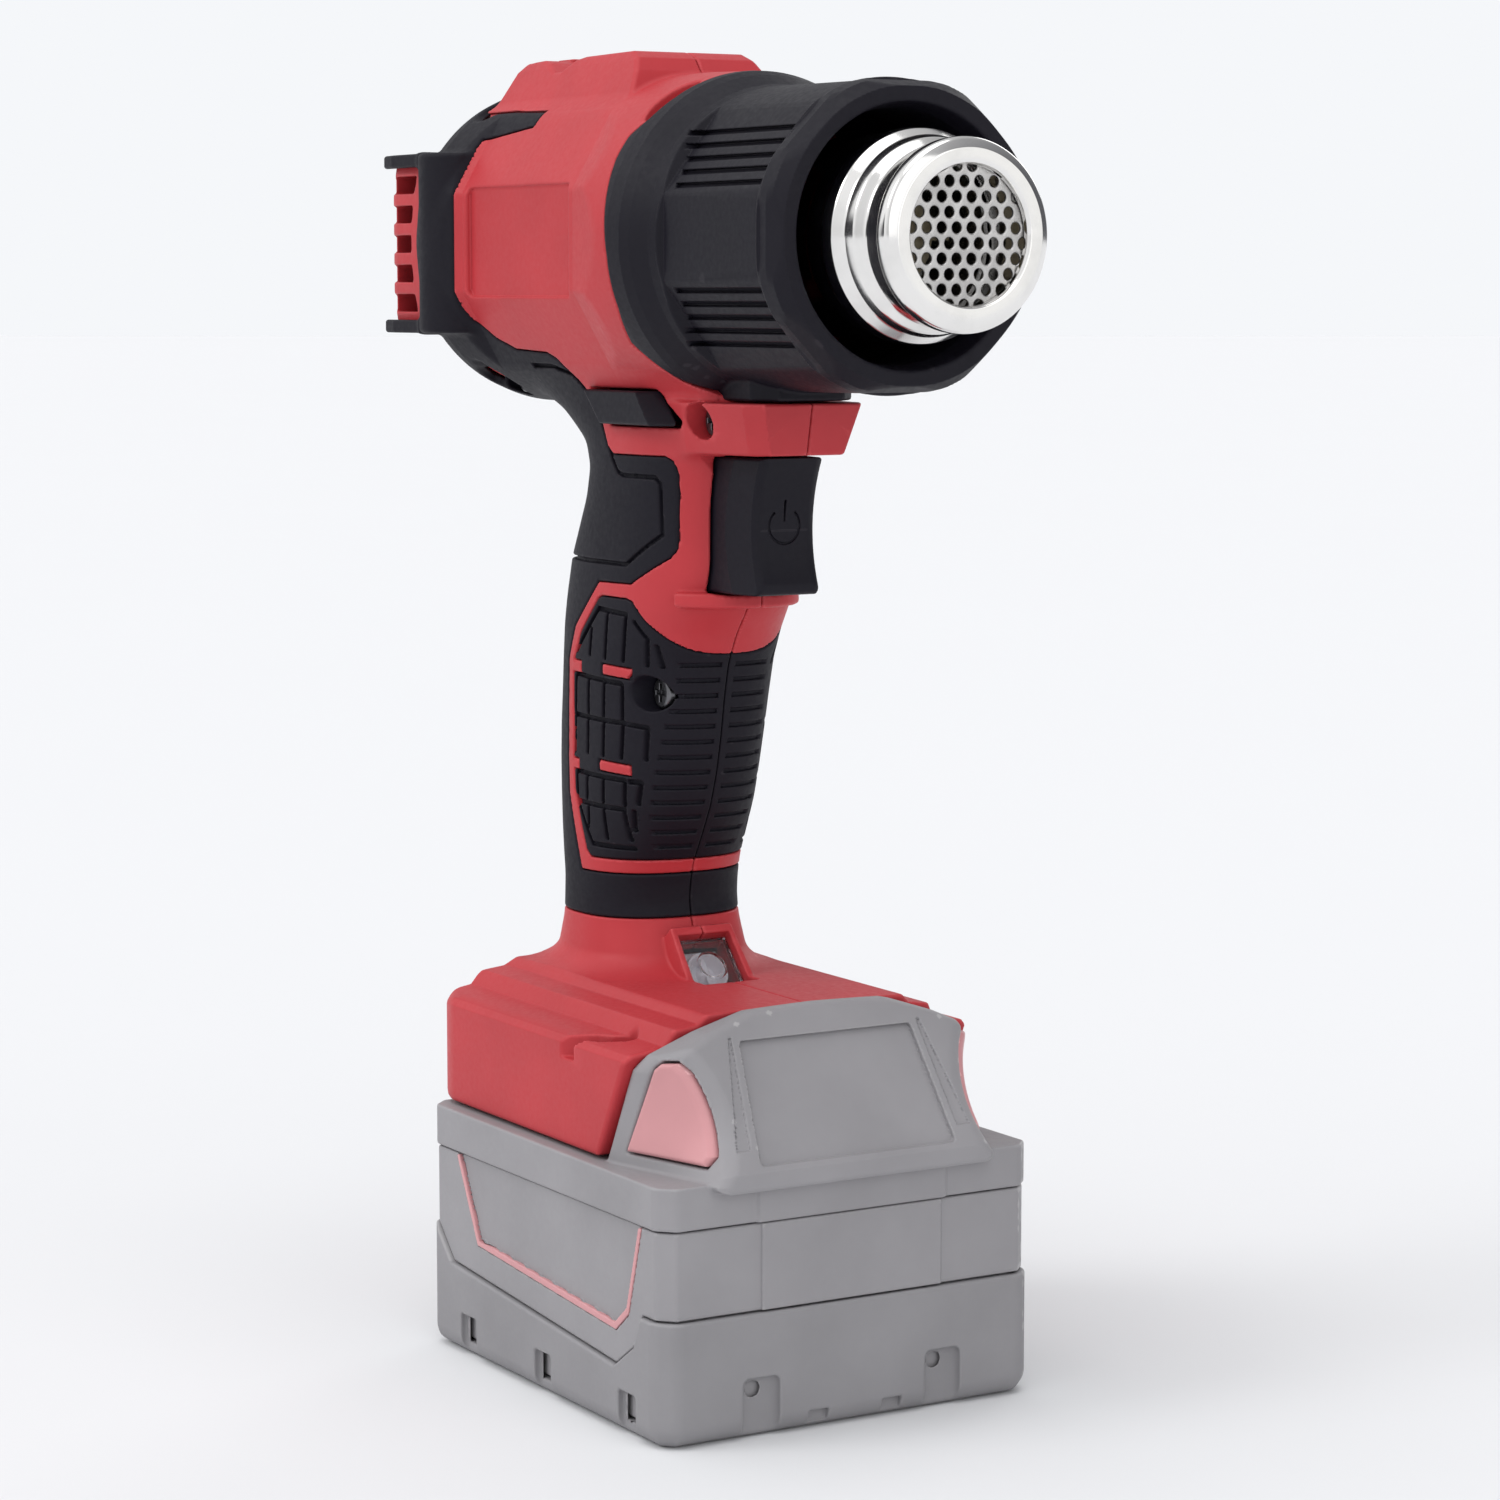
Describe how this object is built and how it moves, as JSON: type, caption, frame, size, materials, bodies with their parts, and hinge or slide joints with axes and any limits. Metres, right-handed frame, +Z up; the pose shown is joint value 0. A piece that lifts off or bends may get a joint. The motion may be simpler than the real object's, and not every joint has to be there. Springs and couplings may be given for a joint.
{
  "type": "cordless heat gun",
  "caption": "Pistol-grip cordless heat gun with a steel nozzle, a guard around it, a trigger and a slide-on battery pack that it stands on.",
  "frame": {"origin": "centre of the battery pack's base, in the middle of the object's length and width, on the surface that the tool stands on", "axes": "+X out of the nozzle, +Z up, +Y to the left side of the tool"},
  "size_m": [0.1714, 0.0788, 0.2545],
  "materials": {
    "red_shell": "fine satin texture",
    "black_shell": "fine matt texture",
    "rubber": "soft matt overmould",
    "nozzle_chrome": "bright plated steel",
    "satin_steel": "satin",
    "dark_steel": "blackened steel",
    "mica": "layered mica board",
    "brass_blade": "bright",
    "circuit_board": "solder mask",
    "clear_lens": "clear moulded plastic",
    "pack_grey": "fine texture",
    "pack_rubber": "soft matt",
    "pack_pink": "satin",
    "cell_can": "sleeved can",
    "led_white": "white reflector and lamp"
  },
  "bodies": {
    "tool": {"housing_left": "red_shell", "housing_right": "red_shell", "intake_grille": "red_shell", "rear_overmould_left": "rubber", "rear_overmould_right": "rubber", "grip_overmould_left": "rubber", "grip_overmould_right": "rubber", "screw_chin": "dark_steel", "screw_grip": "dark_steel", "screw_neck": "dark_steel", "screw_rear_low": "dark_steel", "screw_rear_top": "dark_steel", "screw_foot": "dark_steel", "outlet_screen": "satin_steel", "heater_sleeve": "satin_steel", "heating_coil": "satin_steel", "thermal_cutout": "satin_steel", "fan_motor": "satin_steel", "trigger_spring": "satin_steel", "nozzle": "nozzle_chrome", "nozzle_guard": "black_shell", "fan_duct": "black_shell", "switch_module": "black_shell", "terminal_block": "black_shell", "heater_former": "mica", "control_board": "circuit_board", "work_light_board": "led_white", "work_light_lens": "clear_lens", "terminal_blade_1": "brass_blade", "terminal_blade_2": "brass_blade", "terminal_blade_3": "brass_blade"},
    "trigger": {"trigger": "black_shell"},
    "lock": {"lock_bar": "black_shell"},
    "fan": {"impeller": "black_shell", "motor_shaft": "satin_steel"},
    "pack": {"pack_bumper": "pack_rubber", "pack_bottom_case": "pack_grey", "pack_top_case": "pack_grey", "pack_stripe_left": "pack_pink", "pack_stripe_right": "pack_pink", "button_spring_left": "satin_steel", "button_spring_right": "satin_steel", "cell_plate_left": "black_shell", "cell_plate_right": "black_shell", "pack_board": "circuit_board", "cell_1": "cell_can", "cell_2": "cell_can", "cell_3": "cell_can", "cell_4": "cell_can", "cell_5": "cell_can", "cell_6": "cell_can", "cell_7": "cell_can", "cell_8": "cell_can", "cell_9": "cell_can", "cell_10": "cell_can"},
    "release_left": {"release_button_left": "pack_pink"},
    "release_right": {"release_button_right": "pack_pink"}
  },
  "joints": [
    {"name": "trigger_slide", "type": "slide", "parent": "tool", "child": "trigger", "axis": [-1, 0, 0], "range_m": [0, 0.006], "stiffness_N_per_m": 400, "springref_m": -0.004, "deforming": ["trigger_spring"]},
    {"name": "lock_slide", "type": "slide", "parent": "tool", "child": "lock", "axis": [0, 1, 0], "range_m": [-0.003, 0.003]},
    {"name": "fan_spin", "type": "hinge", "parent": "tool", "child": "fan", "pos_m": [-0.056, 0, 0.2183], "axis": [1, 0, 0], "continuous": true},
    {"name": "pack_slide", "type": "slide", "parent": "tool", "child": "pack", "axis": [1, 0, 0], "range_m": [0, 0.1]},
    {"name": "release_left_press", "type": "slide", "parent": "pack", "child": "release_left", "axis": [0, -1, 0], "range_m": [0, 0.003], "stiffness_N_per_m": 800, "springref_m": -0.003, "deforming": ["button_spring_left"]},
    {"name": "release_right_press", "type": "slide", "parent": "pack", "child": "release_right", "axis": [0, 1, 0], "range_m": [0, 0.003], "stiffness_N_per_m": 800, "springref_m": -0.003, "deforming": ["button_spring_right"]}
  ]
}
